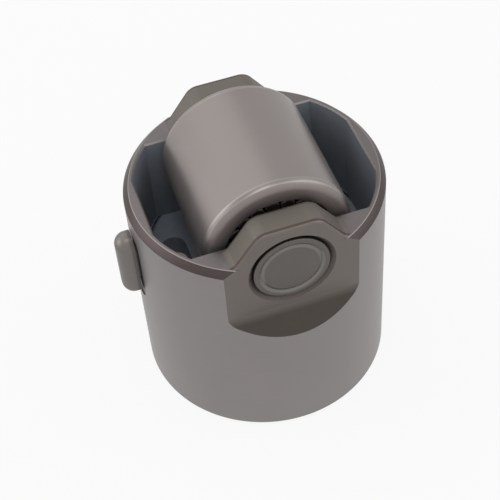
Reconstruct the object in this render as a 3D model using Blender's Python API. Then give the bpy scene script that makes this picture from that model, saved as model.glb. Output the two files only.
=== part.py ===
"""Mechanical roller tappet: a steel sleeve with two lugs that hold a needle-bearing roller on a staked pin.

The origin is the centre of the thrust plate's pad, where the pump plunger pushes. +Z points up to the
roller and the roller's axis lies along Y.
"""

import math

import bmesh
import bpy
from mathutils import Matrix

MM = 0.001

# Sleeve, in metres like every size below
SLEEVE_DIAMETER = 31.0 * MM
SLEEVE_LENGTH = 29.2 * MM
RIM_CHAMFER_WIDTH = 0.70 * MM
RIM_CHAMFER_HEIGHT = 0.85 * MM
FOOT_CHAMFER = 0.4 * MM
SKIRT_DEPTH = 13.0 * MM
SKIRT_WALL = 1.3 * MM
SKIRT_BORE = SLEEVE_DIAMETER - 2 * SKIRT_WALL

# Lugs, and the flats milled down both ends of the roller's axis
LUG_THICKNESS = 3.65 * MM
LUG_OVER_PIN = 2.0 * MM
LUG_TOP_INSET = 1.0 * MM
LUG_FOOT_MARGIN = 2.1 * MM
LUG_CORNER_RADIUS = 1.8 * MM
LUG_FOOT_RADIUS = 1.2 * MM
LUG_EDGE_RADIUS = 0.6 * MM
FLAT_DEPTH = 2.25 * MM
ACROSS_FLATS = SLEEVE_DIAMETER - 2 * FLAT_DEPTH
FLAT_LENGTH = 9.0 * MM
RAMP_ANGLE = math.radians(49)
RAMP_RADIUS = 2.0 * MM

# Pocket that the roller turns in: a round bore cut off by a wall along each of its four sides
POCKET_WALL = 1.2 * MM
POCKET_END_WALL = 1.95 * MM
POCKET_DIAMETER = SLEEVE_DIAMETER - 2 * POCKET_WALL
POCKET_LENGTH = SLEEVE_DIAMETER - 2 * POCKET_END_WALL
POCKET_WIDTH = ACROSS_FLATS - 2 * LUG_THICKNESS
POCKET_EDGE_CHAMFER = 0.18 * MM

# Roller, pin and needles. The roller's size and its wall set those of the needles' races and of the pin
AXLE_HEIGHT = 13.75 * MM
ROLLER_DIAMETER = 18.1 * MM
ROLLER_WALL = 2.6 * MM
ROLLER_SIDE_GAP = 0.65 * MM
ROLLER_LENGTH = POCKET_WIDTH - 2 * ROLLER_SIDE_GAP
ROLLER_EDGE_RADIUS = 1.1 * MM
ROLLER_BORE_CHAMFER = 0.25 * MM
PIN_EDGE_RADIUS = 0.2 * MM
PIN_SHORT_OF_FLAT = 0.05 * MM
PIN_BORE_CHAMFER = 0.6 * MM
STAKE_INSET = 0.95 * MM
STAKE_WIDTH = 0.7 * MM
STAKE_DEPTH = 0.25 * MM
NEEDLE_DIAMETER = 1.8 * MM
NEEDLE_EDGE_RADIUS = 0.3 * MM
NEEDLE_SHORT_OF_ROLLER = 0.3 * MM
RACE_CLEARANCE = 0.025 * MM
NEEDLE_SPACING = 0.012 * MM

# Thrust plate
PLATE_THICKNESS = 2.9 * MM
PLATE_CHAMFER = 0.4 * MM
PAD_DIAMETER = 11.0 * MM
PAD_HEIGHT = 0.5 * MM
OIL_SLOT_WIDTH = 3.2 * MM
OIL_SLOT_LENGTH = 11.0 * MM
OIL_SLOT_INSET = 4.2 * MM

# Guide key on the side of the sleeve
KEY_WIDTH = 3.3 * MM
KEY_LENGTH = 9.5 * MM
KEY_STANDS_PROUD = 2.15 * MM
KEY_CROWN_RADIUS = 1.5 * MM
KEY_HEIGHT = 7.55 * MM
KEY_STEM_WIDTH = 2.0 * MM
KEY_STEM_LENGTH = 6.0 * MM
KEY_STEM_SHORT_OF_POCKET = 0.2 * MM
KEY_SEAT_DEPTH = 0.2 * MM
KEY_SEAT_MARGIN = 0.8 * MM

# Clearances
PRESS_GAP = 0.03 * MM
SEAT_GAP = 0.25 * MM
OVERCUT = 2.0 * MM

# How finely the round shapes are divided
SLEEVE_SEGMENTS = 96
PIN_SEGMENTS = 64
NEEDLE_SEGMENTS = 14
ARC_STEPS = 5
POCKET_CORNER_STEPS = 6
SLOT_END_STEPS = 8
PIN_EDGE_STEPS = 3
NEEDLE_EDGE_STEPS = 2
SMOOTH_UNDER = math.radians(28)
MERGE_DISTANCE = 1e-8

# Places that follow from the sizes above
FOOT_Z = -SKIRT_DEPTH
RIM_Z = FOOT_Z + SLEEVE_LENGTH
PLATE_TOP_Z = PAD_HEIGHT + PLATE_THICKNESS
SHOULDER_Z = PLATE_TOP_Z + PRESS_GAP
FLAT_Y = ACROSS_FLATS / 2
ROLLER_BORE_RADIUS = ROLLER_DIAMETER / 2 - ROLLER_WALL
NEEDLE_PITCH_RADIUS = ROLLER_BORE_RADIUS - RACE_CLEARANCE - NEEDLE_DIAMETER / 2
PIN_RADIUS = NEEDLE_PITCH_RADIUS - NEEDLE_DIAMETER / 2 - RACE_CLEARANCE
STAKE_RADIUS = PIN_RADIUS - STAKE_INSET
LUG_TOP_Z = AXLE_HEIGHT + PIN_RADIUS + LUG_OVER_PIN
LUG_TOP_HALF = PIN_RADIUS - LUG_TOP_INSET
LUG_FOOT_HALF = PIN_RADIUS + LUG_FOOT_MARGIN
OIL_SLOT_OFFSET = SKIRT_BORE / 2 - OIL_SLOT_INSET


def clear_scene():
    for obj in list(bpy.data.objects):
        bpy.data.objects.remove(obj, do_unlink=True)


def steel(name, colour, roughness):
    """A metal with its own colour and polish."""
    material = bpy.data.materials.new(name)
    material.use_nodes = True
    shader = material.node_tree.nodes["Principled BSDF"]
    shader.inputs["Base Color"].default_value = (*colour, 1.0)
    shader.inputs["Metallic"].default_value = 1.0
    shader.inputs["Roughness"].default_value = roughness
    return material


def add_object(name, bm, material=None):
    """Turns a bmesh into an object with its faces outward and its round sides shaded smooth."""
    bmesh.ops.recalc_face_normals(bm, faces=bm.faces)
    mesh = bpy.data.meshes.new(name)
    bm.to_mesh(mesh)
    bm.free()
    if material:
        mesh.materials.append(material)
    mesh.shade_smooth()
    mesh.set_sharp_from_angle(angle=SMOOTH_UNDER)
    obj = bpy.data.objects.new(name, mesh)
    bpy.context.scene.collection.objects.link(obj)
    return obj


def arc(centre, radius, start, end, steps=ARC_STEPS):
    """Points of an arc from one angle to another, in degrees, in the plane of the profile."""
    angles = [math.radians(start + (end - start) * i / steps) for i in range(steps + 1)]
    return [(centre[0] + radius * math.cos(a), centre[1] + radius * math.sin(a)) for a in angles]


def turned(profile, segments):
    """A solid of revolution about Z, from a profile of (radius, height) points."""
    bm = bmesh.new()
    points = [bm.verts.new((radius, 0, height)) for radius, height in profile]
    edges = [bm.edges.new(pair) for pair in zip(points, points[1:])]
    if profile[0][0] > 0:
        edges.append(bm.edges.new((points[-1], points[0])))
    bmesh.ops.spin(
        bm,
        geom=points + edges,
        cent=(0, 0, 0),
        axis=(0, 0, 1),
        angle=math.tau,
        steps=segments,
        use_merge=True,
    )
    bmesh.ops.remove_doubles(bm, verts=bm.verts, dist=MERGE_DISTANCE)
    return bm


def loft(loops):
    """A solid through outlines that all have the same number of points, with a cap at each end."""
    bm = bmesh.new()
    rings = [[bm.verts.new(point) for point in loop] for loop in loops]
    for lower, upper in zip(rings, rings[1:]):
        for i in range(len(lower)):
            j = (i + 1) % len(lower)
            bm.faces.new((lower[i], lower[j], upper[j], upper[i]))
    bm.faces.new(reversed(rings[0]))
    bm.faces.new(rings[-1])
    return bm


def rounded_corner(before, corner, after, radius, steps=ARC_STEPS):
    """The points of an arc that rounds one corner of an outline."""
    def towards(point):
        dx, dy = point[0] - corner[0], point[1] - corner[1]
        length = math.hypot(dx, dy)
        return dx / length, dy / length

    a, b = towards(before), towards(after)
    half = math.acos(max(-1.0, min(1.0, a[0] * b[0] + a[1] * b[1]))) / 2
    reach = radius / math.tan(half)
    middle = (a[0] + b[0], a[1] + b[1])
    scale = radius / math.sin(half) / math.hypot(*middle)
    centre = (corner[0] + middle[0] * scale, corner[1] + middle[1] * scale)
    start = math.atan2(corner[1] + a[1] * reach - centre[1], corner[0] + a[0] * reach - centre[0])
    end = math.atan2(corner[1] + b[1] * reach - centre[1], corner[0] + b[0] * reach - centre[0])
    turn = (end - start + math.pi) % math.tau - math.pi
    return arc(centre, radius, math.degrees(start), math.degrees(start + turn), steps)


def obround(width, length, steps=SLOT_END_STEPS):
    """A slot outline with half-round ends, its length along the second coordinate."""
    reach = (length - width) / 2
    return arc((0, reach), width / 2, 0, 180, steps) + arc((0, -reach), width / 2, 180, 360, steps)


def cut(target, name, bm, matrix=Matrix(), operation="DIFFERENCE"):
    """Adds a live Boolean to the target, with the tool kept out of the render."""
    tool = add_object(name, bm)
    tool.matrix_world = matrix
    tool.hide_render = True
    tool.display_type = "WIRE"
    boolean = target.modifiers.new(name, "BOOLEAN")
    boolean.operation = operation
    boolean.object = tool
    return tool


def along_y():
    """Turns a shape made about Z so that its axis lies along Y, at the height of the axle."""
    return Matrix.Translation((0, 0, AXLE_HEIGHT)) @ Matrix.Rotation(math.radians(-90), 4, "X")


def sleeve_blank():
    """The turned outside of the sleeve, chamfered at its rim and foot, still solid inside."""
    outer = SLEEVE_DIAMETER / 2
    return turned(
        [
            (0, FOOT_Z),
            (outer - FOOT_CHAMFER, FOOT_Z),
            (outer, FOOT_Z + FOOT_CHAMFER),
            (outer, RIM_Z - RIM_CHAMFER_HEIGHT),
            (outer - RIM_CHAMFER_WIDTH, RIM_Z),
            (0, RIM_Z),
        ],
        SLEEVE_SEGMENTS,
    )


def pocket_outline(grow=0.0):
    """A circle cut off by the pocket's four straight walls, as (x, y) points."""
    radius = POCKET_DIAMETER / 2 + grow
    half_length = POCKET_LENGTH / 2 + grow
    half_width = POCKET_WIDTH / 2 + grow
    first = math.degrees(math.acos(half_length / radius))
    last = math.degrees(math.asin(half_width / radius))
    corner = arc((0, 0), radius, first, last, POCKET_CORNER_STEPS)
    mirrored = [(-x, y) for x, y in reversed(corner)]
    upper = corner + mirrored
    return upper + [(-x, -y) for x, y in upper]


def pocket_tool():
    """The straight pocket, from the shoulder of the thrust plate up past the lugs."""
    outline = pocket_outline()
    return loft([[(x, y, z) for x, y in outline] for z in (SHOULDER_Z - PRESS_GAP, LUG_TOP_Z + OVERCUT)])


def pocket_edge_tool():
    """The small chamfer that breaks the pocket's edge at the rim."""
    levels = [(RIM_Z - POCKET_EDGE_CHAMFER, 0.0), (RIM_Z, POCKET_EDGE_CHAMFER)]
    levels.append((RIM_Z + OVERCUT, POCKET_EDGE_CHAMFER + OVERCUT))
    return loft([[(x, y, z) for x, y in pocket_outline(grow)] for z, grow in levels])


def lug_outline(inset):
    """One lug seen along the roller's axis: a rounded trapezoid that flows into the rim."""
    slope = math.atan2(LUG_TOP_Z - RIM_Z, LUG_FOOT_HALF - LUG_TOP_HALF)
    reach, turn = math.tan(slope / 2), math.degrees(slope)
    top = (LUG_TOP_HALF - LUG_CORNER_RADIUS * reach, LUG_TOP_Z - LUG_CORNER_RADIUS)
    foot = (LUG_FOOT_HALF + LUG_FOOT_RADIUS * reach, RIM_Z + LUG_FOOT_RADIUS)
    last = 270 - math.degrees(math.acos(LUG_FOOT_RADIUS / (LUG_FOOT_RADIUS + inset)))
    right = arc(top, LUG_CORNER_RADIUS - inset, 90, 90 - turn)
    right += arc(foot, LUG_FOOT_RADIUS + inset, 270 - turn, last)
    right.append((right[-1][0], RIM_Z - OVERCUT))
    return right + [(-x, z) for x, z in reversed(right)]


def lug_tool(side):
    """One lug, rounded over at both faces. The pocket and the flat trim what stands past them."""
    inner, outer, edge = POCKET_WIDTH / 2, FLAT_Y, LUG_EDGE_RADIUS
    levels = [(inner - PRESS_GAP, 0.0)]
    levels += arc((inner + edge, 0), edge, 180, 90) + arc((outer - edge, 0), edge, 90, 0)
    levels.append((outer + PRESS_GAP, 0.0))
    return loft([[(x, side * y, z) for x, z in lug_outline(edge - rise)] for y, rise in levels])


def flat_tool(side):
    """What is milled off one side: the flat and the ramp below it."""
    ramp_start = (FLAT_Y, RIM_Z - FLAT_LENGTH)
    outside = SLEEVE_DIAMETER / 2 + OVERCUT
    ramp_end = (outside, RIM_Z - FLAT_LENGTH - (outside - FLAT_Y) * math.tan(RAMP_ANGLE))
    outline = [ramp_end] + rounded_corner(ramp_end, ramp_start, (FLAT_Y, RIM_Z), RAMP_RADIUS)
    outline += [(FLAT_Y, LUG_TOP_Z + OVERCUT), (outside, LUG_TOP_Z + OVERCUT)]
    half = SLEEVE_DIAMETER / 2 + OVERCUT
    return loft([[(x, side * y, z) for y, z in outline] for x in (-half, half)])


def pin_bore_tool():
    """The pin's bore through both lugs, opened out at each flat for the staked end."""
    radius = PIN_RADIUS + PRESS_GAP
    mouth = FLAT_Y - PIN_BORE_CHAMFER
    past = PIN_BORE_CHAMFER + OVERCUT
    return turned(
        [(0, -mouth - past), (radius + past, -mouth - past), (radius, -mouth), (radius, mouth)]
        + [(radius + past, mouth + past), (0, mouth + past)],
        PIN_SEGMENTS,
    )


def key_outline(width, length, x):
    """An obround in the plane of the sleeve's side, at a distance x from the sleeve's axis."""
    return [(x, y, KEY_HEIGHT + z) for y, z in obround(width, length)]


def make_housing():
    material = steel("formed_steel", (0.27, 0.25, 0.24), 0.42)
    body = add_object("housing", sleeve_blank(), material)
    cut(body, "pocket_edge", pocket_edge_tool())
    for side, name in ((-1, "lug_front"), (1, "lug_back")):
        cut(body, name, lug_tool(side), operation="UNION")
    cut(body, "pocket", pocket_tool())
    bore, below = SKIRT_BORE / 2, FOOT_Z - OVERCUT
    bore_profile = [(0, below), (bore, below), (bore, SHOULDER_Z), (0, SHOULDER_Z)]
    cut(body, "skirt_bore", turned(bore_profile, SLEEVE_SEGMENTS))
    for side, name in ((-1, "flat_front"), (1, "flat_back")):
        cut(body, name, flat_tool(side))
    cut(body, "pin_bore", pin_bore_tool(), along_y())
    seat = -SLEEVE_DIAMETER / 2 + KEY_SEAT_DEPTH
    seat_size = (KEY_WIDTH + 2 * KEY_SEAT_MARGIN, KEY_LENGTH + 2 * KEY_SEAT_MARGIN)
    cut(body, "key_seat", loft([key_outline(*seat_size, x) for x in (seat, seat - OVERCUT)]))
    hole_size = (KEY_STEM_WIDTH + 2 * PRESS_GAP, KEY_STEM_LENGTH + 2 * PRESS_GAP)
    hole_end = -POCKET_LENGTH / 2 + OVERCUT
    cut(body, "key_hole", loft([key_outline(*hole_size, x) for x in (hole_end, seat - OVERCUT)]))
    return body


def make_roller():
    """The roller: a thick ring with generously rounded ends, its axis on the pin."""
    radius, half, edge = ROLLER_DIAMETER / 2, ROLLER_LENGTH / 2, ROLLER_EDGE_RADIUS
    bore, chamfer = ROLLER_BORE_RADIUS, ROLLER_BORE_CHAMFER
    profile = arc((radius - edge, half - edge), edge, 90, 0)
    profile += arc((radius - edge, edge - half), edge, 0, -90)
    profile += [(bore + chamfer, -half), (bore, chamfer - half)]
    profile += [(bore, half - chamfer), (bore + chamfer, half)]
    material = steel("ground_steel", (0.42, 0.40, 0.38), 0.3)
    roller = add_object("roller", turned(profile, SLEEVE_SEGMENTS), material)
    roller.matrix_world = along_y()
    return roller


def make_pin():
    """The solid axle. A round groove in each end face is left by the staking that spreads it in its bore."""
    radius, half = PIN_RADIUS, FLAT_Y - PIN_SHORT_OF_FLAT
    stake, width = STAKE_RADIUS, STAKE_WIDTH
    groove = [(stake - width / 2, 0), (stake - width / 6, STAKE_DEPTH)]
    groove += [(stake + width / 6, STAKE_DEPTH), (stake + width / 2, 0)]
    corner = (radius - PIN_EDGE_RADIUS, half - PIN_EDGE_RADIUS)
    edge = arc(corner, PIN_EDGE_RADIUS, 90, 0, PIN_EDGE_STEPS)
    upper = [(0, half)] + [(r, half - depth) for r, depth in groove] + edge
    profile = upper + [(r, -z) for r, z in reversed(upper)]
    material = steel("pin_steel", (0.30, 0.28, 0.27), 0.36)
    pin = add_object("pin", turned(profile, PIN_SEGMENTS), material)
    pin.matrix_world = along_y()
    return pin


def make_needles():
    """The loose needles that fill the ring between pin and roller, all on one carrier."""
    radius = NEEDLE_DIAMETER / 2
    half = ROLLER_LENGTH / 2 - NEEDLE_SHORT_OF_ROLLER
    corner = (radius - NEEDLE_EDGE_RADIUS, half - NEEDLE_EDGE_RADIUS)
    upper = [(0, half)] + arc(corner, NEEDLE_EDGE_RADIUS, 90, 0, NEEDLE_EDGE_STEPS)
    profile = upper + [(r, -z) for r, z in reversed(upper)]
    material = steel("needle_steel", (0.50, 0.49, 0.47), 0.2)
    step = 2 * math.asin((radius + NEEDLE_SPACING / 2) / NEEDLE_PITCH_RADIUS)
    count = int(math.tau / step)
    carrier = bpy.data.objects.new("needle_orbit", None)
    carrier.matrix_world = along_y()
    bpy.context.scene.collection.objects.link(carrier)
    for i in range(count):
        angle = math.tau * i / count
        needle = add_object(f"needle_{i + 1:02d}", turned(profile, NEEDLE_SEGMENTS), material)
        needle.parent = carrier
        place = (math.cos(angle), math.sin(angle), 0)
        needle.location = [NEEDLE_PITCH_RADIUS * along for along in place]


def make_thrust_plate():
    """The hardened plate pressed up the skirt against the pocket's shoulder, with a pad for the plunger."""
    radius, chamfer, pad = SKIRT_BORE / 2 - PRESS_GAP, PLATE_CHAMFER, PAD_DIAMETER / 2
    profile = [
        (0, 0),
        (pad - PAD_HEIGHT, 0),
        (pad, PAD_HEIGHT),
        (radius - chamfer, PAD_HEIGHT),
        (radius, PAD_HEIGHT + chamfer),
        (radius, PLATE_TOP_Z - chamfer),
        (radius - chamfer, PLATE_TOP_Z),
        (0, PLATE_TOP_Z),
    ]
    material = steel("plate_steel", (0.22, 0.21, 0.21), 0.4)
    plate = add_object("thrust_plate", turned(profile, SLEEVE_SEGMENTS), material)
    outline = obround(OIL_SLOT_WIDTH, OIL_SLOT_LENGTH)
    levels = (-OVERCUT, PLATE_TOP_Z + OVERCUT)
    for offset, name in ((-OIL_SLOT_OFFSET, "oil_slot_left"), (OIL_SLOT_OFFSET, "oil_slot_right")):
        cut(plate, name, loft([[(x + offset, y, z) for x, y in outline] for z in levels]))
    return plate


def make_guide_key():
    """The pill-shaped key: a crowned head proud of the sleeve, and a stem that fills its hole."""
    tip = -SLEEVE_DIAMETER / 2 - KEY_STANDS_PROUD
    under = -SLEEVE_DIAMETER / 2 + KEY_SEAT_DEPTH - SEAT_GAP
    loops = [key_outline(KEY_WIDTH, KEY_LENGTH, under)]
    for i in range(ARC_STEPS + 1):
        angle = math.pi / 2 * i / ARC_STEPS
        inset = 2 * KEY_CROWN_RADIUS * (1 - math.cos(angle))
        x = tip + KEY_CROWN_RADIUS * (1 - math.sin(angle))
        loops.append(key_outline(KEY_WIDTH - inset, KEY_LENGTH - inset, x))
    key = add_object("guide_key", loft(loops), steel("key_steel", (0.33, 0.31, 0.30), 0.4))
    stem_end = -POCKET_LENGTH / 2 - KEY_STEM_SHORT_OF_POCKET
    middle = (tip + under) / 2
    stem = loft([key_outline(KEY_STEM_WIDTH, KEY_STEM_LENGTH, x) for x in (middle, stem_end)])
    cut(key, "key_stem", stem, operation="UNION")
    return key


clear_scene()
make_housing()
make_roller()
make_pin()
make_needles()
make_thrust_plate()
make_guide_key()
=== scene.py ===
# %% [markdown]
# # A roller tappet, finished for its photograph
# The imported model already has every piece at its real size and place. This lesson gives each piece its
# fine surface: small edge breaks, a stake groove, grinding marks, painted shade inside the pocket.
# Everything is in metres. Points less than TOUCHING apart count as one place, WELD closes the slivers that
# a bevel can leave, and a cutter reaches OVERCUT past the surface that it cuts. Pressed pieces keep
# PRESS_GAP to their hole.

# %% Load the imported tappet
import math

import bmesh
import bpy
from mathutils import Matrix, Vector


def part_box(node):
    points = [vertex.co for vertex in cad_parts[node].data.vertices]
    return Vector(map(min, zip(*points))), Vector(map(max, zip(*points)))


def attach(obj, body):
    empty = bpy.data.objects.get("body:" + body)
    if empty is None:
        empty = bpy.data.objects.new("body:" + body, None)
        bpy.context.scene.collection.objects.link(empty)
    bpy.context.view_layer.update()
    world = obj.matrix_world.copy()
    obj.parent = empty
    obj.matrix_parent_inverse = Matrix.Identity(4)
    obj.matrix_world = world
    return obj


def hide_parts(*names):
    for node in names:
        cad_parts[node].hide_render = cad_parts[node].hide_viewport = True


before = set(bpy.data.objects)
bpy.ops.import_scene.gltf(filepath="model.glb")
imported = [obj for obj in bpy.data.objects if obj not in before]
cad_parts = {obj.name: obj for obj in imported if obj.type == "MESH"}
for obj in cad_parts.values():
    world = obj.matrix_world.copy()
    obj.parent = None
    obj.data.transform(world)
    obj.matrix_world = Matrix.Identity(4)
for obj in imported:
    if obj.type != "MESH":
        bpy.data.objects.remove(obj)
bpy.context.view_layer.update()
MM = 0.001
TOUCHING = 0.001 * MM
WELD = 0.002 * MM
PRESS_GAP = 0.03 * MM
OVERCUT = 2.0 * MM

# %% [markdown]
# ## Places that the frame gives
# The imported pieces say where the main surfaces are, so the fine pieces are measured from them. The
# roller's axis lies along Y, and the sleeve's axis is Z.

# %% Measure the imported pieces
sleeve_low, sleeve_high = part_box("housing")
roller_low, roller_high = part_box("roller")
pin_low, pin_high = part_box("pin")
plate_low, plate_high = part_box("thrust_plate")
key_low, key_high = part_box("guide_key")

sleeve_radius = sleeve_high.x
foot_z = sleeve_low.z
lug_top_z = sleeve_high.z
axle_z = (roller_low.z + roller_high.z) / 2
roller_radius = (roller_high.x - roller_low.x) / 2
roller_half = roller_high.y
pin_radius = (pin_high.x - pin_low.x) / 2
pin_half = pin_high.y
print(f"sleeve radius {sleeve_radius / MM:.2f} mm, axle {axle_z / MM:.2f} mm above the plunger pad")

# %% [markdown]
# ## Camera
# The photograph looks down at about 49 degrees from the front left. The camera is placed by its direction
# from the part, with a slight roll, and its lens is given for a square picture. A direction and a
# distance are easier to fit to a photograph than three turns of an object.

# %% Place the camera
CAMERA_AZIMUTH = math.radians(-14.898)
CAMERA_ELEVATION = math.radians(48.917)
CAMERA_ROLL = math.radians(-5.007)
CAMERA_DISTANCE = 160.845 * MM
CAMERA_LENS = 91.754
SENSOR_WIDTH = 36.0
LOOKS_AT = Vector((0, 0, 1.0 * MM))
SLIDE_RIGHT = -1.277 * MM
SLIDE_UP = 1.144 * MM


def towards(azimuth, elevation):
    """A direction from the part. Azimuth 0 is the front, -Y, and grows towards +X."""
    level = math.cos(elevation)
    return Vector((math.sin(azimuth) * level, -math.cos(azimuth) * level, math.sin(elevation)))


towards_camera = towards(CAMERA_AZIMUTH, CAMERA_ELEVATION)
level_right = Vector((math.cos(CAMERA_AZIMUTH), math.sin(CAMERA_AZIMUTH), 0))
level_up = towards_camera.cross(level_right)
right = math.cos(CAMERA_ROLL) * level_right + math.sin(CAMERA_ROLL) * level_up
up = math.cos(CAMERA_ROLL) * level_up - math.sin(CAMERA_ROLL) * level_right
eye = LOOKS_AT + SLIDE_RIGHT * right + SLIDE_UP * up + CAMERA_DISTANCE * towards_camera

camera = bpy.data.objects.new("camera", bpy.data.cameras.new("camera"))
bpy.context.scene.collection.objects.link(camera)
camera.data.sensor_width = SENSOR_WIDTH
camera.data.lens = CAMERA_LENS
camera.data.clip_start = 1 * MM
facing = Matrix((right, up, towards_camera)).transposed().to_4x4()
camera.matrix_world = Matrix.Translation(eye) @ facing
bpy.context.scene.camera = camera
print("camera at", tuple(round(along / MM, 1) for along in eye), "mm")

# %% [markdown]
# ## Finishes
# Every piece is steel, so what tells them apart is how each was finished: ground, milled, turned or
# rolled. Some of the colours are painted light instead: painted shade in the pocket, the key's seat, the
# rim chamfer, the ramp and the needles' ends, oil and painted shade in the bores, and painted highlights
# on the edge lines, the roller's roundings and the stake groove. One builder makes them all. A stretched
# noise draws the marks that the tool left, a broad noise varies the tone, and both also vary the
# roughness. Noise fills space, so no piece needs to be unwrapped for it. Densities are per metre. A finish
# can also run into a second colour with height, which the ramp's painted shade needs.

# %% A steel finish from nodes
NOISE_LOW, NOISE_HIGH = 0.3, 0.7
BLOTCHES = 160.0
TONE_SHARE = 0.45
ROUGHNESS_SPREAD = 0.12
RELIEF_HEIGHT = 0.02 * MM


def map_range(nodes, values):
    """A Map Range node with some of its sockets set."""
    node = nodes.new("ShaderNodeMapRange")
    for socket, value in values.items():
        node.inputs[socket].default_value = value
    return node


def noise(nodes, scale, detail):
    """A noise texture node."""
    node = nodes.new("ShaderNodeTexNoise")
    node.inputs["Scale"].default_value = scale
    node.inputs["Detail"].default_value = detail
    return node


def steel(name, colour, roughness, marks=(1, 1, 1), contrast=0.06, depth=0.1, metallic=1.0):
    """Steel with fine tool marks. marks gives the marks' density along X, Y and Z."""
    material = bpy.data.materials.new(name)
    material.use_nodes = True
    nodes, links = material.node_tree.nodes, material.node_tree.links
    shader = nodes["Principled BSDF"]
    shader.inputs["Metallic"].default_value = metallic

    place = nodes.new("ShaderNodeTexCoord")
    stretch = nodes.new("ShaderNodeMapping")
    stretch.inputs["Scale"].default_value = marks
    links.new(place.outputs["Object"], stretch.inputs["Vector"])
    lines = noise(nodes, 1.0, 4.0)
    links.new(stretch.outputs["Vector"], lines.inputs["Vector"])
    tone = noise(nodes, BLOTCHES, 3.0)
    links.new(place.outputs["Object"], tone.inputs["Vector"])

    together = nodes.new("ShaderNodeMix")
    together.data_type = "FLOAT"
    together.inputs["Factor"].default_value = TONE_SHARE
    links.new(lines.outputs["Fac"], together.inputs["A"])
    links.new(tone.outputs["Fac"], together.inputs["B"])
    shades = nodes.new("ShaderNodeValToRGB")
    ends = ((NOISE_LOW, 1 - contrast), (NOISE_HIGH, 1 + contrast))
    for stop, (position, share) in zip(shades.color_ramp.elements, ends):
        stop.position = position
        stop.color = (*[c * share for c in colour], 1)
    links.new(together.outputs["Result"], shades.inputs["Fac"])
    links.new(shades.outputs["Color"], shader.inputs["Base Color"])

    polish = map_range(nodes, {
        "From Min": NOISE_LOW,
        "From Max": NOISE_HIGH,
        "To Min": roughness * (1 - ROUGHNESS_SPREAD),
        "To Max": roughness * (1 + ROUGHNESS_SPREAD),
    })
    links.new(together.outputs["Result"], polish.inputs["Value"])
    links.new(polish.outputs["Result"], shader.inputs["Roughness"])

    relief = nodes.new("ShaderNodeBump")
    relief.inputs["Strength"].default_value = depth
    relief.inputs["Distance"].default_value = RELIEF_HEIGHT
    links.new(lines.outputs["Fac"], relief.inputs["Height"])
    links.new(relief.outputs["Normal"], shader.inputs["Normal"])
    return material


def fade_up(material, colour, low, high):
    """Blend the material's colour into another one between two heights of the part."""
    nodes, links = material.node_tree.nodes, material.node_tree.links
    base = nodes["Principled BSDF"].inputs["Base Color"]
    height = nodes.new("ShaderNodeSeparateXYZ")
    links.new(nodes["Texture Coordinate"].outputs["Object"], height.inputs["Vector"])
    share = map_range(nodes, {"From Min": low, "From Max": high})
    links.new(height.outputs["Z"], share.inputs["Value"])
    blend = nodes.new("ShaderNodeMixRGB")
    blend.inputs["Color2"].default_value = (*colour, 1)
    links.new(share.outputs["Result"], blend.inputs["Fac"])
    links.new(base.links[0].from_socket, blend.inputs["Color1"])
    links.new(blend.outputs["Color"], base)


ROUND_Z = (60, 60, 7000)
ROUND_Y = (60, 7000, 60)
MILLED_UP = (5000, 900, 300)
MILLED = (5000, 900, 900)
POCKET_MARKS = (900, 900, 900)
MILLED_COLOUR = (0.165, 0.148, 0.136)
FAINT_MARKS = {"contrast": 0.02, "depth": 0.04}

ground_side = steel("ground_side", (0.25, 0.232, 0.226), 0.42, ROUND_Z)
milled_flat = steel("milled_flat", MILLED_COLOUR, 0.42, MILLED_UP)
# Painted shade: the ramp's darker colour stands in for how its tilted face takes the light.
ramp_painted_shade = steel("ramp_painted_shade", (0.075, 0.064, 0.058), 0.45, MILLED)
turned_rim = steel("turned_rim", (0.155, 0.141, 0.138), 0.42, (1500, 1500, 300))
# Painted shade: a dark colour on the rim chamfer for the dark surroundings that it mirrors towards the
# front.
chamfer_painted_shade = steel("chamfer_painted_shade", (0.08, 0.063, 0.062), 0.4, ROUND_Z)
# Painted highlight: a light colour for the thin lines at the rim's edge break and the pocket's mouth.
painted_edge_highlight = steel("painted_edge_highlight", (0.27, 0.25, 0.245), 0.45)
lug_steel = steel("lug_steel", (0.166, 0.15, 0.134), 0.6, MILLED)
lug_edge = steel("lug_edge", (0.095, 0.068, 0.066), 0.5, MILLED)
# Painted shade: a dark flat colour for the pocket's walls and the plate's top, where the recess only lies
# in shade.
pocket_painted_shade = steel("pocket_painted_shade", (0.26, 0.287, 0.332), 0.7, POCKET_MARKS, contrast=0.08, depth=0.2, metallic=0.0)
# Oil and painted shade: a dark colour for the bore mouths around the pin and the key's hole.
bore_oil_and_painted_shade = steel("bore_oil_and_painted_shade", (0.11, 0.088, 0.08), 0.5, ROUND_Y, metallic=0.3)
skirt_bore_steel = steel("skirt_bore_steel", (0.16, 0.15, 0.142), 0.45, ROUND_Z)
# Painted shade: a darker colour for the key's seat and the foot of its head, where shade falls beside the
# sleeve.
key_seat_painted_shade = steel("key_seat_painted_shade", (0.15, 0.133, 0.128), 0.5)
roller_steel = steel("roller_steel", (0.25, 0.222, 0.212), 0.36, ROUND_Y, **FAINT_MARKS, metallic=0.75)
# Painted highlight: the bright lines along the roller's roundings.
roller_painted_highlight = steel("roller_painted_highlight", (0.3, 0.28, 0.26), 0.36, ROUND_Y, **FAINT_MARKS)
roller_end = steel("roller_end", (0.27, 0.232, 0.222), 0.5, ROUND_Y, metallic=0.75)
pin_steel = steel("pin_steel", (0.135, 0.123, 0.113), 0.42, (1500, 300, 1500))
# Painted highlight: the bright arcs on the stake groove's flanks.
stake_painted_highlight = steel("stake_painted_highlight", (0.185, 0.173, 0.16), 0.38)
needle_steel = steel("needle_steel", (0.5, 0.49, 0.47), 0.2, ROUND_Y)
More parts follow.
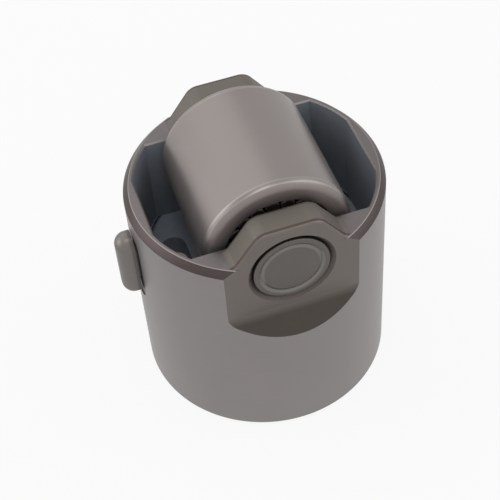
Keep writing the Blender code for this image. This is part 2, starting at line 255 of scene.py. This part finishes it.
# Painted shade: the needles' ends sit in shade behind the roller's end, so they are coloured dark.
needle_end_painted_shade = steel("needle_end_painted_shade", (0.1, 0.088, 0.082), 0.5)
plate_steel = steel("plate_steel", (0.17, 0.165, 0.16), 0.4, (900, 900, 300))
key_steel = steel("key_steel", (0.185, 0.168, 0.16), 0.42, (700, 700, 700), contrast=0.08)

HOUSING_FINISHES = [
    ground_side, milled_flat, ramp_painted_shade, turned_rim, chamfer_painted_shade, painted_edge_highlight, lug_steel, lug_edge,
    pocket_painted_shade, bore_oil_and_painted_shade, skirt_bore_steel, key_seat_painted_shade,
]
print(len(bpy.data.materials), "finishes")

# %% [markdown]
# ## Turned solids
# Most of this part is turned on a lathe, so most pieces start as half an outline that is spun round. A
# corner is rounded afterwards, by bevelling the ring of edges that the spin left there. Two bevels that
# end on the same line are made JUST_SHORT of it. A normal counts as TILTED when it leans out of a plane
# by that share.

# %% Spin an outline, and bevel a ring
FINE_STEPS = 256
PIN_STEPS = 160
NEEDLE_STEPS = 32
MERGE = 1e-7
JUST_SHORT = 0.999
TILTED = 0.01
ALONG_Y = Matrix.Translation((0, 0, axle_z)) @ Matrix.Rotation(math.radians(-90), 4, "X")


def turned(outline, steps=FINE_STEPS, ring=False):
    """Spins (radius, height) points round Z. A ring's outline closes on itself, any other on the axis."""
    bm = bmesh.new()
    points = [bm.verts.new((radius, 0, height)) for radius, height in outline]
    edges = [bm.edges.new(pair) for pair in zip(points, points[1:])]
    if ring:
        edges.append(bm.edges.new((points[-1], points[0])))
    bmesh.ops.spin(
        bm,
        geom=points + edges,
        cent=(0, 0, 0),
        axis=(0, 0, 1),
        angle=math.tau,
        steps=steps,
        use_merge=True,
    )
    bmesh.ops.remove_doubles(bm, verts=bm.verts, dist=MERGE)
    bmesh.ops.recalc_face_normals(bm, faces=bm.faces)
    return bm


def soften(bm, edges, size, steps=3):
    """Rounds the given edges."""
    bmesh.ops.bevel(
        bm,
        geom=edges,
        offset=size,
        offset_type="OFFSET",
        segments=steps,
        profile=0.5,
        affect="EDGES",
        material=-1,
        clamp_overlap=False,
        loop_slide=True,
    )


def ring_at(bm, radius, height):
    """The edges of one turned corner, found by its radius and height."""
    corner = {
        vert
        for vert in bm.verts
        if abs(math.hypot(vert.co.x, vert.co.y) - radius) < TOUCHING and abs(vert.co.z - height) < TOUCHING
    }
    return [edge for edge in bm.edges if corner.issuperset(edge.verts)]


# %% [markdown]
# ## From bmesh to a finished piece
# A piece's object stays at the origin, with its place in its mesh. Round sides are shaded smooth, real
# edges stay sharp, and the weighted normals keep the flat faces flat beside their small roundings.

# %% Make a piece and let it ride on its body
SMOOTH_UNDER = math.radians(27)


def finished(name, bm, materials, body, nodes):
    """Turns a bmesh into a shown piece that stands for the given CAD nodes."""
    mesh = bpy.data.meshes.new(name)
    bm.to_mesh(mesh)
    bm.free()
    for material in materials:
        mesh.materials.append(material)
    mesh.shade_smooth()
    mesh.set_sharp_from_angle(angle=SMOOTH_UNDER)
    piece = bpy.data.objects.new(name, mesh)
    bpy.context.scene.collection.objects.link(piece)
    weighted = piece.modifiers.new("weighted_normals", "WEIGHTED_NORMAL")
    weighted.keep_sharp = True
    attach(piece, body)
    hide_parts(*nodes)
    print(f"{name}: {len(mesh.polygons)} faces")


# %% [markdown]
# ## The sleeve's cutters
# The housing is one piece of steel: a turned blank that is then bored, milled and drilled. The same order
# works here. Each cutter is a closed solid, and a Boolean takes it away at once. A cutter's faces carry
# the finish that its cut leaves, so the cut comes out in the right material.

# %% Cut one bmesh with another, and find parts of it
FINISH = {material.name: index for index, material in enumerate(HOUSING_FINISHES)}


def scratch_object(bm):
    """A temporary object with the housing's finishes, for a Boolean."""
    mesh = bpy.data.meshes.new("scratch")
    bm.to_mesh(mesh)
    bm.free()
    for material in HOUSING_FINISHES:
        mesh.materials.append(material)
    scratch = bpy.data.objects.new("scratch", mesh)
    bpy.context.scene.collection.objects.link(scratch)
    return scratch


def carve(bm, tool, finish=None, operation="DIFFERENCE"):
    """The bmesh after one Boolean. Both solids are used up."""
    if finish:
        for face in tool.faces:
            face.material_index = FINISH[finish]
    body, cutter = scratch_object(bm), scratch_object(tool)
    boolean = body.modifiers.new("cut", "BOOLEAN")
    boolean.operation = operation
    boolean.object = cutter
    bpy.context.view_layer.update()
    result = bmesh.new()
    result.from_object(body, bpy.context.evaluated_depsgraph_get())
    for scratch in (body, cutter):
        mesh = scratch.data
        bpy.data.objects.remove(scratch)
        bpy.data.meshes.remove(mesh)
    bmesh.ops.remove_doubles(result, verts=result.verts, dist=MERGE)
    return result


def verts_in(result):
    """The vertices among the new parts that an operator lists."""
    return [part for part in result["geom"] if isinstance(part, bmesh.types.BMVert)]


def bar(outline, axis, low, high):
    """A straight bar: an outline drawn across one axis, then extruded along it."""
    bm = bmesh.new()
    corners = [Vector((low, a, b)) if axis == "X" else Vector((a, low, b)) for a, b in outline]
    face = bm.faces.new([bm.verts.new(corner) for corner in corners])
    grown = bmesh.ops.extrude_face_region(bm, geom=[face])
    along = Vector((high - low, 0, 0)) if axis == "X" else Vector((0, high - low, 0))
    bmesh.ops.translate(bm, verts=verts_in(grown), vec=along)
    bmesh.ops.recalc_face_normals(bm, faces=bm.faces)
    return bm


def edges_along(bm, axis, where):
    """The edges that run along one axis through a point of the outline."""
    index = "XYZ".index(axis)
    found = []
    for edge in bm.edges:
        run = edge.verts[1].co - edge.verts[0].co
        middle = (edge.verts[0].co + edge.verts[1].co) / 2
        across = Vector([middle[i] for i in range(3) if i != index])
        if abs(run[index]) > JUST_SHORT * run.length and (across - Vector(where)).length < TOUCHING:
            found.append(edge)
    return found


def slice_off(bm, point, outward):
    """Cuts away what lies beyond a plane and closes the cut with one face, which it returns."""
    sliced = bmesh.ops.bisect_plane(
        bm,
        geom=list(bm.verts) + list(bm.edges) + list(bm.faces),
        dist=MERGE,
        plane_co=point,
        plane_no=outward,
        clear_outer=True,
    )
    rim = [edge for edge in sliced["geom_cut"] if isinstance(edge, bmesh.types.BMEdge)]
    return bmesh.ops.contextual_create(bm, geom=rim)["faces"][0]


def tangent_reach(before, corner, after, radius):
    """How far from a corner an arc of this radius begins, which is the size that bevel asks for."""
    a, b = (Vector(before) - Vector(corner)), (Vector(after) - Vector(corner))
    return radius / math.tan(a.angle(b) / 2)


# %% [markdown]
# ## Turn the blank
# The outside is a plain cylinder with a wide chamfer at the rim and a small one at the foot. The faces of
# the rim are turned and darker than the ground side. Every turned edge is broken, and the break at the
# rim carries a painted highlight line. One outline gives each chamfer its own width and height, which a
# bevelled cylinder would not.

# %% The turned blank
SLEEVE_LENGTH = 29.2 * MM
RIM_CHAMFER_WIDTH = 0.70 * MM
RIM_CHAMFER_HEIGHT = 0.85 * MM
FOOT_CHAMFER = 0.4 * MM
EDGE_BREAK = 0.06 * MM
RIM_SLOPE, HIGHLIGHT_SLOPE, CHAMFER_SLOPE = 0.99, 0.68, 0.1
rim_z = foot_z + SLEEVE_LENGTH

housing = turned(
    [
        (0, foot_z),
        (sleeve_radius - FOOT_CHAMFER, foot_z),
        (sleeve_radius, foot_z + FOOT_CHAMFER),
        (sleeve_radius, rim_z - RIM_CHAMFER_HEIGHT),
        (sleeve_radius - RIM_CHAMFER_WIDTH, rim_z),
        (0, rim_z),
    ]
)
for height, radius in (
    (foot_z, sleeve_radius - FOOT_CHAMFER),
    (foot_z + FOOT_CHAMFER, sleeve_radius),
    (rim_z - RIM_CHAMFER_HEIGHT, sleeve_radius),
    (rim_z, sleeve_radius - RIM_CHAMFER_WIDTH),
):
    soften(housing, ring_at(housing, radius, height), EDGE_BREAK, steps=2)
for face in housing.faces:
    slope = face.normal.z
    if slope > RIM_SLOPE:
        face.material_index = FINISH["turned_rim"]
    # The break between rim and chamfer gets the painted highlight line.
    elif slope > HIGHLIGHT_SLOPE:
        face.material_index = FINISH["painted_edge_highlight"]
    # The rim chamfer gets the painted shade.
    elif slope > CHAMFER_SLOPE:
        face.material_index = FINISH["chamfer_painted_shade"]
print("blank:", len(housing.faces), "faces")

# %% [markdown]
# ## Chamfer the pocket's mouth
# The pocket that the roller turns in is a round bore cut off by four straight walls. Its tool is a round
# block sliced by four planes. Leaning planes and a cone make the same shape flare, which cuts the chamfer
# that carries a painted highlight line. This is cut before the lugs are added, and they fill it where
# they stand.

# %% The pocket's shape and its mouth
POCKET_RADIUS = 14.3 * MM
POCKET_HALF_LENGTH = 13.55 * MM
POCKET_HALF_WIDTH = 9.6 * MM
MOUTH_CHAMFER = 0.18 * MM


def pocket_block(low, high, lean):
    """The pocket's shape between two heights. It grows by lean for each step up."""
    block = turned([(0, low), (POCKET_RADIUS, low), (POCKET_RADIUS + (high - low) * lean, high), (0, high)])
    for direction, reach in (((1, 0, 0), POCKET_HALF_LENGTH), ((0, 1, 0), POCKET_HALF_WIDTH)):
        for side in (-1, 1):
            outward = side * Vector(direction)
            slice_off(block, outward * reach + Vector((0, 0, low)), outward - Vector((0, 0, lean)))
    bmesh.ops.recalc_face_normals(block, faces=block.faces)
    return block


# The mouth chamfer's faces get the painted highlight line.
housing = carve(housing, pocket_block(rim_z - MOUTH_CHAMFER, rim_z + OVERCUT, 1), "painted_edge_highlight")

# %% [markdown]
# ## Add the lugs
# Seen from the end, a lug is a rounded trapezoid whose feet flow into the rim. The bevel first rounds its
# corners and feet, then rounds it over all the way round at both of its faces. The first narrow strips of
# the outer rounding keep a dark line. Bevels work best on a plain bar, so it is rounded before it joins
# the sleeve, and a plane then cuts its foot to length.

# %% The two lugs
LUG_TOP_HALF = 3.6 * MM
LUG_FOOT_HALF = 6.7 * MM
LUG_CORNER_RADIUS = 1.8 * MM
LUG_CORNER_STEPS = 10
LUG_FOOT_RADIUS = 1.2 * MM
LUG_FOOT_STEPS = 8
LUG_EDGE_RADIUS = 0.6 * MM
LUG_EDGE_STEPS = 6
LUG_LINE_STEPS = 2
LUG_SUNK = 0.01 * MM
FLAT_Y = 13.25 * MM

lug_low_z = rim_z - LUG_SUNK
lug_top, lug_foot = (LUG_TOP_HALF, lug_top_z), (LUG_FOOT_HALF, lug_low_z)
foot_reach = tangent_reach(lug_top, lug_foot, (sleeve_radius, lug_low_z), LUG_FOOT_RADIUS)
shoulder_reach = tangent_reach((0, lug_top_z), lug_top, lug_foot, LUG_CORNER_RADIUS)
lug_end = (LUG_FOOT_HALF + foot_reach, lug_low_z)
right_half = [(lug_end[0], rim_z - OVERCUT), lug_end, lug_foot, lug_top]
lug_outline = right_half + [(-x, z) for x, z in reversed(right_half)]
for side in (-1, 1):
    lug = bar(lug_outline, "Y", side * POCKET_HALF_WIDTH, side * FLAT_Y)
    for across in (-1, 1):
        shoulder_edges = edges_along(lug, "Y", (across * LUG_TOP_HALF, lug_top_z))
        soften(lug, shoulder_edges, shoulder_reach, LUG_CORNER_STEPS)
        foot_edges = edges_along(lug, "Y", (across * LUG_FOOT_HALF, lug_low_z))
        soften(lug, foot_edges, foot_reach * JUST_SHORT, LUG_FOOT_STEPS)
    bmesh.ops.remove_doubles(lug, verts=lug.verts, dist=WELD)
    for face in lug.faces:
        face.material_index = FINISH["lug_steel"]
    above_rim = {vert for vert in lug.verts if vert.co.z > lug_low_z - TOUCHING}
    outline_edges = [
        edge
        for edge in lug.edges
        if abs(edge.verts[0].co.y - edge.verts[1].co.y) < MERGE and above_rim.issuperset(edge.verts)
    ]
    soften(lug, outline_edges, LUG_EDGE_RADIUS, LUG_EDGE_STEPS)
    dark_line = math.sin(math.pi / 2 * LUG_LINE_STEPS / LUG_EDGE_STEPS)
    for face in lug.faces:
        outward = face.normal.y * side
        if outward > dark_line:
            face.material_index = FINISH["milled_flat"]
        elif outward > TILTED:
            face.material_index = FINISH["lug_edge"]
    foot = slice_off(lug, (0, 0, rim_z - 2 * LUG_SUNK), (0, 0, -1))
    sunk = bmesh.ops.extrude_face_region(lug, geom=[foot])
    bmesh.ops.delete(lug, geom=[foot], context="FACES_ONLY")
    bmesh.ops.translate(lug, verts=verts_in(sunk), vec=(0, 0, -OVERCUT))
    bmesh.ops.recalc_face_normals(lug, faces=lug.faces)
    housing = carve(housing, lug, operation="UNION")
print("with lugs:", len(housing.faces), "faces")

# %% [markdown]
# ## Bore the pocket and the skirt
# The pocket's walls get painted shade: a dark flat colour where the recess only lies in shade. The skirt's
# bore is turned. One block cuts each of them. Cutting keeps the sleeve a closed solid, where walls drawn
# face by face could leave a gap.

# %% The pocket and the skirt's bore
SKIRT_BORE_RADIUS = 14.2 * MM
shoulder_z = plate_high.z + PRESS_GAP

pocket = pocket_block(plate_high.z, lug_top_z + OVERCUT, 0)
# The pocket's walls get the painted shade.
housing = carve(housing, pocket, "pocket_painted_shade")
below = foot_z - OVERCUT
bore_outline = [(0, below), (SKIRT_BORE_RADIUS, below), (SKIRT_BORE_RADIUS, shoulder_z), (0, shoulder_z)]
skirt_bore = turned(bore_outline)
housing = carve(housing, skirt_bore, "skirt_bore_steel")
print("bored:", len(housing.faces), "faces")

# %% [markdown]
# ## Mill the flats
# A flat is milled down each end of the roller's axis. Below it the cutter leaves a ramp that runs out
# through the side, with a soft blend between them. The ramp is painted darker, a painted shade for how
# its tilted face takes the light, and the painted shade fades out over the blend. The cutter is the side
# view of what is milled away, drawn once and extruded across the sleeve, so that flat, blend and ramp
# are one cut.

# %% The two flats
FLAT_LENGTH = 9.0 * MM
RAMP_ANGLE = math.radians(49)
RAMP_RADIUS = 2.0 * MM
RAMP_STEPS = 10
FADE_BELOW = 0.5 * MM

outside = sleeve_radius + OVERCUT
ramp_top = (FLAT_Y, rim_z - FLAT_LENGTH)
ramp_end = (outside, ramp_top[1] - (outside - FLAT_Y) * math.tan(RAMP_ANGLE))
over = lug_top_z + OVERCUT
flat_outline = [ramp_end, ramp_top, (FLAT_Y, over), (outside, over)]
ramp_reach = tangent_reach(*flat_outline[:3], RAMP_RADIUS)
for side in (-1, 1):
    cutter = bar([(side * y, z) for y, z in flat_outline], "X", -outside, outside)
    soften(cutter, edges_along(cutter, "X", (side * FLAT_Y, ramp_top[1])), ramp_reach, RAMP_STEPS)
    bmesh.ops.remove_doubles(cutter, verts=cutter.verts, dist=WELD)
    for face in cutter.faces:
        ramp = face.calc_center_median().z < ramp_top[1] + ramp_reach
        face.material_index = FINISH["ramp_painted_shade" if ramp else "milled_flat"]
    housing = carve(housing, cutter)
# The ramp's painted shade fades into the flat's colour over the blend.
fade_up(ramp_painted_shade, MILLED_COLOUR, ramp_top[1] - FADE_BELOW, ramp_top[1] + ramp_reach)
print("milled:", len(housing.faces), "faces")

# %% [markdown]
# ## Drill for the pin and the key
# The pin's bore runs through both lugs and opens out at each flat. The guide key sits in a shallow seat
# with round ends, and its stem goes through the wall. One turned tool drills both lugs, so their bores
# line up as they do on the machine.

# %% The pin's bore, the key's seat and its hole
BORE_MOUTH = 0.6 * MM
KEY_SEAT_DEPTH = 0.2 * MM
KEY_SEAT_MARGIN = 0.8 * MM
KEY_STEM_WIDTH = 2.0 * MM
KEY_STEM_LENGTH = 6.0 * MM
SLOT_END_STEPS = 12
SLOT_WELD = 0.005 * MM

bore_radius = pin_radius + PRESS_GAP
mouth, past = FLAT_Y - BORE_MOUTH, BORE_MOUTH + OVERCUT
half_bore = [(bore_radius, mouth), (bore_radius + past, mouth + past), (0, mouth + past)]
pin_bore = turned([(r, -h) for r, h in reversed(half_bore)] + half_bore, PIN_STEPS)
bmesh.ops.transform(pin_bore, matrix=ALONG_Y, verts=pin_bore.verts)
# The bore's mouth is darkened by oil and painted shade.
housing = carve(housing, pin_bore, "bore_oil_and_painted_shade")

key_z = (key_low.z + key_high.z) / 2
key_width, key_length = key_high.y - key_low.y, key_high.z - key_low.z


def slot_block(width, length, near, far):
    """A block along X with half-round ends: a box whose four long edges are bevelled to half its width."""
    bm = bmesh.new()
    bmesh.ops.create_cube(bm, size=1)
    bmesh.ops.scale(bm, verts=bm.verts, vec=(abs(far - near), width, length))
    bmesh.ops.translate(bm, verts=bm.verts, vec=((near + far) / 2, 0, key_z))
    long_edges = [e for e in bm.edges if abs(e.verts[0].co.x - e.verts[1].co.x) > 0.5 * abs(far - near)]
    soften(bm, long_edges, width / 2 * JUST_SHORT, SLOT_END_STEPS)
    bmesh.ops.remove_doubles(bm, verts=bm.verts, dist=SLOT_WELD)
    return bm


seat_x = -sleeve_radius + KEY_SEAT_DEPTH
seat_size = (key_width + 2 * KEY_SEAT_MARGIN, key_length + 2 * KEY_SEAT_MARGIN)
seat = slot_block(*seat_size, seat_x - OVERCUT, seat_x)
# The key's seat gets the painted shade.
housing = carve(housing, seat, "key_seat_painted_shade")
hole_size = (KEY_STEM_WIDTH + 2 * PRESS_GAP, KEY_STEM_LENGTH + 2 * PRESS_GAP)
hole = slot_block(*hole_size, seat_x - OVERCUT, -POCKET_HALF_LENGTH + OVERCUT)
# The key's hole gets the same oil and painted shade.
housing = carve(housing, hole, "bore_oil_and_painted_shade")
print("drilled:", len(housing.faces), "faces")

# %% The finished sleeve
finished("sleeve", housing, HOUSING_FINISHES, "tappet_body", ["housing"])

# %% [markdown]
# ## The roller
# The cam runs on this. It is a thick ring with round ends, so that its edges never dig in. Its running
# face is ground. Two strips of each rounding carry painted highlight lines, and the last ones have the
# tone of the ends. An outline that closes on itself spins into the whole ring at once, so no bore has
# to be cut.

# %% Turn the roller
ROLLER_EDGE_RADIUS = 1.1 * MM
ROLLER_BORE_RADIUS = 6.45 * MM
BORE_CHAMFER = 0.25 * MM
GROUND, PAINTED_HIGHLIGHT, END = range(3)
# Two strips of each rounding get painted highlight lines.
ROUNDING_FINISHES = [PAINTED_HIGHLIGHT, GROUND, GROUND, PAINTED_HIGHLIGHT, GROUND, GROUND, END, END, END, END]

roller = turned(
    [(roller_radius, -roller_half), (roller_radius, roller_half)]
    + [(ROLLER_BORE_RADIUS, roller_half), (ROLLER_BORE_RADIUS, -roller_half)],
    ring=True,
)
for end in (-roller_half, roller_half):
    soften(roller, ring_at(roller, roller_radius, end), ROLLER_EDGE_RADIUS, len(ROUNDING_FINISHES))
    soften(roller, ring_at(roller, ROLLER_BORE_RADIUS, end), BORE_CHAMFER)
for face in roller.faces:
    middle = face.calc_center_median()
    turn = math.asin(min(JUST_SHORT, abs(face.normal.z)))
    if math.hypot(middle.x, middle.y) < roller_radius - ROLLER_EDGE_RADIUS:
        face.material_index = END
    elif turn > TILTED:
        step = int(turn / (math.pi / 2) * len(ROUNDING_FINISHES))
        face.material_index = ROUNDING_FINISHES[step]
bmesh.ops.transform(roller, matrix=ALONG_Y, verts=roller.verts)
finished("cam_roller", roller, [roller_steel, roller_painted_highlight, roller_end], "roller", ["roller"])

# %% [markdown]
# ## The pin
# Each end of the pin is staked: a punch with a round edge leaves a groove and spreads the steel into the
# bore's mouth, so the pin can't creep out. The groove's flanks carry a painted highlight, brighter than the
# end's flat face. Each groove is part of the pin's outline, so the spin makes it as round as the pin.

# %% Turn the pin and stake its ends
STAKE_RADIUS = 3.65 * MM
STAKE_HALF_WIDTH = 0.35 * MM
STAKE_DEPTH = 0.25 * MM
STAKE_EDGE = 0.1 * MM
FLAT_FACE = 0.98
PIN_EDGE = 0.2 * MM

groove = [
    (STAKE_RADIUS - STAKE_HALF_WIDTH, pin_half),
    (STAKE_RADIUS, pin_half - STAKE_DEPTH),
    (STAKE_RADIUS + STAKE_HALF_WIDTH, pin_half),
]
half_pin = [(0, pin_half)] + groove + [(pin_radius, pin_half)]
pin = turned(half_pin + [(r, -h) for r, h in reversed(half_pin)], PIN_STEPS)
for end in (-1, 1):
    soften(pin, ring_at(pin, pin_radius, end * pin_half), PIN_EDGE, steps=4)
    for radius, height in groove:
        soften(pin, ring_at(pin, radius, end * height), STAKE_EDGE)
# The groove's flanks get the painted highlight.
for face in pin.faces:
    middle = face.calc_center_median()
    beside = abs(math.hypot(middle.x, middle.y) - STAKE_RADIUS) < STAKE_HALF_WIDTH
    face.material_index = 1 if beside and abs(face.normal.z) < FLAT_FACE else 0
bmesh.ops.transform(pin, matrix=ALONG_Y, verts=pin.verts)
finished("staked_pin", pin, [pin_steel, stake_painted_highlight], "tappet_body", ["pin"])

# %% [markdown]
# ## The needles
# Loose needles fill the ring between pin and roller. Each has rounded ends and takes its place from its
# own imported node. An Array would make them all one piece, so a loop turns and places each one by itself.

# %% Turn the needles
NEEDLE_EDGE = 0.3 * MM
END_SLOPE = 0.5
needle_nodes = sorted(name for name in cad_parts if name.startswith("needle"))
for node in needle_nodes:
    low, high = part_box(node)
    radius, half = (high.z - low.z) / 2, high.y
    needle = turned([(0, -half), (radius, -half), (radius, half), (0, half)], NEEDLE_STEPS)
    for end in (-half, half):
        soften(needle, ring_at(needle, radius, end), NEEDLE_EDGE, steps=4)
    # The needles' ends get the painted shade.
    for face in needle.faces:
        face.material_index = 1 if abs(face.normal.z) > END_SLOPE else 0
    middle = (low + high) / 2
    bmesh.ops.rotate(needle, verts=needle.verts, matrix=Matrix.Rotation(math.radians(-90), 3, "X"))
    bmesh.ops.translate(needle, verts=needle.verts, vec=middle)
    finished(f"bearing_{node}", needle, [needle_steel, needle_end_painted_shade], "needle_set", [node])

# %% [markdown]
# ## The thrust plate
# A hardened plate closes the pocket from below. The pump's plunger pushes on the raised pad in its
# middle, and two slots let the oil through. Only its underside is bright. The rest, inside the pocket,
# gets the pocket's painted shade. The plate is turned first and its slots are cut afterwards, as in a
# workshop.

# %% Turn the plate and cut its slots
PLATE_CHAMFER = 0.4 * MM
PAD_RADIUS = 5.5 * MM
PAD_HEIGHT = 0.5 * MM
OIL_SLOT_WIDTH = 3.2 * MM
OIL_SLOT_LENGTH = 11.0 * MM
OIL_SLOT_OFFSET = 10.0 * MM

plate_radius, plate_top = plate_high.x, plate_high.z
plate = turned(
    [
        (0, 0),
        (PAD_RADIUS - PAD_HEIGHT, 0),
        (PAD_RADIUS, PAD_HEIGHT),
        (plate_radius - PLATE_CHAMFER, PAD_HEIGHT),
        (plate_radius, PAD_HEIGHT + PLATE_CHAMFER),
        (plate_radius, plate_top - PLATE_CHAMFER),
        (plate_radius - PLATE_CHAMFER, plate_top),
        (0, plate_top),
    ]
)
for side in (-1, 1):
    oil_slot = slot_block(OIL_SLOT_WIDTH, OIL_SLOT_LENGTH, -OVERCUT, plate_top + OVERCUT)
    bmesh.ops.translate(oil_slot, verts=oil_slot.verts, vec=(0, 0, -key_z))
    turn_up = Matrix.Rotation(math.radians(-90), 3, "Y") @ Matrix.Rotation(math.radians(90), 3, "X")
    bmesh.ops.rotate(oil_slot, verts=oil_slot.verts, matrix=turn_up)
    bmesh.ops.translate(oil_slot, verts=oil_slot.verts, vec=(side * OIL_SLOT_OFFSET, 0, 0))
    plate = carve(plate, oil_slot)
# Faces that look into the pocket get its painted shade.
for face in plate.faces:
    face.material_index = 0 if face.normal.z < -END_SLOPE else 1
finished("plunger_plate", plate, [plate_steel, pocket_painted_shade], "tappet_body", ["thrust_plate"])

# %% [markdown]
# ## The guide key
# The key's head is a pill with a crowned top. Its stem is pressed through the wall. The head's foot, next
# to the sleeve, gets painted shade where the key meets the sleeve. Bevelling the rim of the pill's outer
# face crowns it, and a plane across the head parts its painted-shade foot from the rest.

# %% Crown the key
KEY_CROWN = 1.5 * MM
KEY_CROWN_STEPS = 10
KEY_NECK = 0.45 * MM
KEY_OFF_SLEEVE = 0.05 * MM
KEY_STEM_SHORT_OF_POCKET = 0.2 * MM

head = slot_block(key_width, key_length, key_low.x, -sleeve_radius - KEY_OFF_SLEEVE)
crown = [e for e in head.edges if all(abs(v.co.x - key_low.x) < TOUCHING for v in e.verts)]
soften(head, crown, KEY_CROWN, KEY_CROWN_STEPS)
stem_end = -POCKET_HALF_LENGTH - KEY_STEM_SHORT_OF_POCKET
stem = slot_block(KEY_STEM_WIDTH, KEY_STEM_LENGTH, key_low.x + KEY_CROWN, stem_end)
head = carve(head, stem, operation="UNION")
neck_x = -sleeve_radius - KEY_NECK
bmesh.ops.bisect_plane(
    head, geom=head.verts[:] + head.edges[:] + head.faces[:], plane_co=(neck_x, 0, 0), plane_no=(1, 0, 0)
)
# The foot beside the sleeve gets the painted shade.
for face in head.faces:
    face.material_index = 1 if face.calc_center_median().x > neck_x else 0
finished("pressed_key", head, [key_steel, key_seat_painted_shade], "tappet_body", ["guide_key"])

# %% [markdown]
# ## Studio
# The photograph is plain: a white ground and wide soft light. The floor is white to the camera and still
# takes the part's shadow. Square lamps close to the part give the broad soft reflections that show how
# steel curves.

# %% Floor, world and lamps
FLOOR_SIZE = 3.0
FLOOR_GREY = 0.85
FLOOR_WHITE_SHARE = 0.88
WORLD_LIGHT = 0.55
WORLD_WHITE = 1.0
LAMP_DISTANCE = 0.6


def seen_straight(nodes, links):
    """1 for camera and glossy rays, 0 for the rays that light the part."""
    rays = nodes.new("ShaderNodeLightPath")
    seen = nodes.new("ShaderNodeMath")
    seen.operation = "MAXIMUM"
    links.new(rays.outputs["Is Camera Ray"], seen.inputs[0])
    links.new(rays.outputs["Is Glossy Ray"], seen.inputs[1])
    return seen.outputs["Value"]


def white_floor():
    """White to the camera and to reflections, with part of its plain diffuse colour for the shadow."""
    material = bpy.data.materials.new("white_floor")
    material.use_nodes = True
    nodes, links = material.node_tree.nodes, material.node_tree.links
    nodes.remove(nodes["Principled BSDF"])
    matt = nodes.new("ShaderNodeBsdfDiffuse")
    matt.inputs["Color"].default_value = (FLOOR_GREY, FLOOR_GREY, FLOOR_GREY, 1)
    glow = nodes.new("ShaderNodeEmission")
    share = nodes.new("ShaderNodeMath")
    share.operation = "MULTIPLY"
    share.inputs[1].default_value = FLOOR_WHITE_SHARE
    links.new(seen_straight(nodes, links), share.inputs[0])
    blend = nodes.new("ShaderNodeMixShader")
    links.new(share.outputs["Value"], blend.inputs["Fac"])
    links.new(matt.outputs["BSDF"], blend.inputs[1])
    links.new(glow.outputs["Emission"], blend.inputs[2])
    links.new(blend.outputs["Shader"], nodes["Material Output"].inputs["Surface"])
    return material


floor_bm = bmesh.new()
bmesh.ops.create_grid(floor_bm, x_segments=1, y_segments=1, size=FLOOR_SIZE / 2)
bmesh.ops.translate(floor_bm, verts=floor_bm.verts, vec=(0, 0, foot_z))
floor_mesh = bpy.data.meshes.new("floor")
floor_bm.to_mesh(floor_mesh)
floor_bm.free()
floor_mesh.materials.append(white_floor())
floor = bpy.data.objects.new("floor", floor_mesh)
bpy.context.scene.collection.objects.link(floor)

world = bpy.data.worlds.new("studio")
bpy.context.scene.world = world
world.use_nodes = True
nodes, links = world.node_tree.nodes, world.node_tree.links
level = map_range(nodes, {"To Min": WORLD_LIGHT, "To Max": WORLD_WHITE})
links.new(seen_straight(nodes, links), level.inputs["Value"])
links.new(level.outputs["Result"], nodes["Background"].inputs["Strength"])
nodes["Background"].inputs["Color"].default_value = (1, 1, 1, 1)


def soft_lamp(name, azimuth, elevation, size, watts):
    """A square lamp that faces the part. Its angles are in degrees."""
    lamp = bpy.data.lights.new(name, "AREA")
    lamp.size = size
    lamp.energy = watts
    holder = bpy.data.objects.new(name, lamp)
    bpy.context.scene.collection.objects.link(holder)
    outward = towards(math.radians(azimuth), math.radians(elevation))
    holder.location = outward * LAMP_DISTANCE
    holder.rotation_euler = outward.to_track_quat("Z", "Y").to_euler()


soft_lamp("back_light", -160, 42, size=0.5, watts=0.4)
soft_lamp("top_light", -25, 78, size=0.2, watts=0.35)
soft_lamp("left_light", -108, 20, size=0.4, watts=0.8)
soft_lamp("right_light", 75, 35, size=0.5, watts=0.6)

bpy.context.scene.view_settings.view_transform = "Standard"
